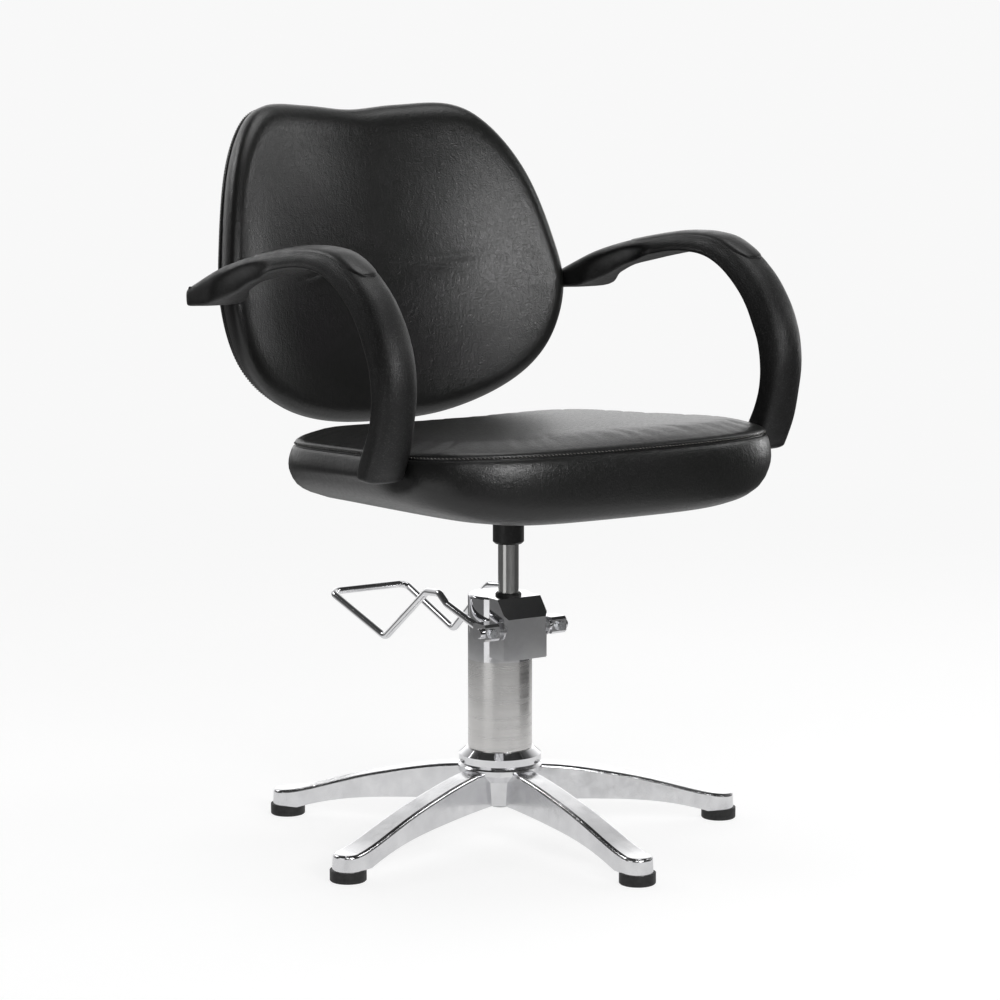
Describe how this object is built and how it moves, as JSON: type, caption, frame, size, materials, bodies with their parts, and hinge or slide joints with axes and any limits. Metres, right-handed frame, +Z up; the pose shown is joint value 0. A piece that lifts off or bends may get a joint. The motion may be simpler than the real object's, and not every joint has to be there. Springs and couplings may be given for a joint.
{
  "type": "styling chair",
  "caption": "Salon styling chair: padded seat and curved back between two loop arms, on a pedal-pumped hydraulic column and a star base that stands on glides.",
  "frame": {"origin": "on the floor, on the axis of the column's outer tube", "axes": "+Z up; the sitter faces -Y; +X is at the sitter's left hand"},
  "size_m": [0.581, 0.6658, 0.8665],
  "materials": {
    "black_leather": "satin black leatherette with a fine grain",
    "under_cloth": "black dust cloth",
    "plywood": "raw plywood",
    "arm_foam": "integral-skin foam, fine grain, matte black",
    "grip_foam": "smooth black integral-skin foam",
    "base_aluminium": "polished cast aluminium",
    "chrome": "mirror chrome plate",
    "tube_steel": "satin stainless tube",
    "rod_steel": "ground hard-chromed rod",
    "machined_steel": "machined steel",
    "zinc_steel": "zinc plated steel",
    "black_steel": "black powder coat",
    "rubber": "black rubber",
    "bronze": "sintered bronze",
    "black_plastic": "black moulded plastic"
  },
  "bodies": {
    "base": {"star_base": "base_aluminium", "glides": "rubber", "glide_screws": "zinc_steel", "base_collar": "chrome", "base_washer": "zinc_steel", "base_nut": "zinc_steel", "outer_tube": "tube_steel", "tank_base": "machined_steel", "ram_cylinder": "machined_steel", "rod_guide": "bronze", "rod_seal": "rubber", "top_bush": "bronze", "rod_wiper": "rubber", "pump_head": "chrome", "pump_barrel": "machined_steel", "valve_seat": "machined_steel", "check_ball": "machined_steel", "shaft_bushes": "machined_steel"},
    "ram": {"ram_piston": "machined_steel", "piston_seal": "rubber"},
    "seat": {"piston_rod": "rod_steel", "piston_clip": "zinc_steel", "seat_socket": "black_steel", "seat_plate": "black_steel", "seat_bolts": "zinc_steel", "seat_board": "plywood", "seat_bottom_cloth": "under_cloth", "arm_crossbar": "black_steel", "seat_cushion": "black_leather", "back_board": "plywood", "back_side_blocks": "plywood", "back_cushion": "black_leather", "back_rear_panel": "black_leather", "arm_left": "arm_foam", "arm_right": "arm_foam", "arm_core_left": "machined_steel", "arm_core_right": "machined_steel", "grip_pad_left": "grip_foam", "grip_pad_right": "grip_foam", "arm_bolts": "zinc_steel", "arm_bolt_caps": "black_plastic", "arm_spacers": "zinc_steel"},
    "pedal": {"pedal_shaft": "chrome", "pump_fork": "machined_steel", "pedal_lever": "chrome", "clamp_blocks": "chrome", "clamp_bolts": "zinc_steel"},
    "plunger": {"pump_plunger": "machined_steel", "plunger_spring": "machined_steel"}
  },
  "joints": [
    {"name": "ram_lift", "type": "slide", "parent": "base", "child": "ram", "axis": [0, 0, 1], "range_m": [-0.055, 0.051]},
    {"name": "seat_turn", "type": "hinge", "parent": "ram", "child": "seat", "pos_m": [0, -0.0178, 0.15], "axis": [0, 0, 1], "continuous": true},
    {"name": "pedal_hinge", "type": "hinge", "parent": "base", "child": "pedal", "pos_m": [0, -0.0475, 0.256], "axis": [1, 0, 0], "range_deg": [-17, 0], "stiffness_Nm_per_rad": 4, "springref_deg": 28.65},
    {"name": "plunger_stroke", "type": "slide", "parent": "base", "child": "plunger", "axis": [0, 0, 1], "range_m": [-0.02, 0], "deforming": ["plunger_spring"]}
  ],
  "couplings": [
    {"joint": "plunger_stroke", "follows": "pedal_hinge", "m_per_rad": 0.0668}
  ]
}
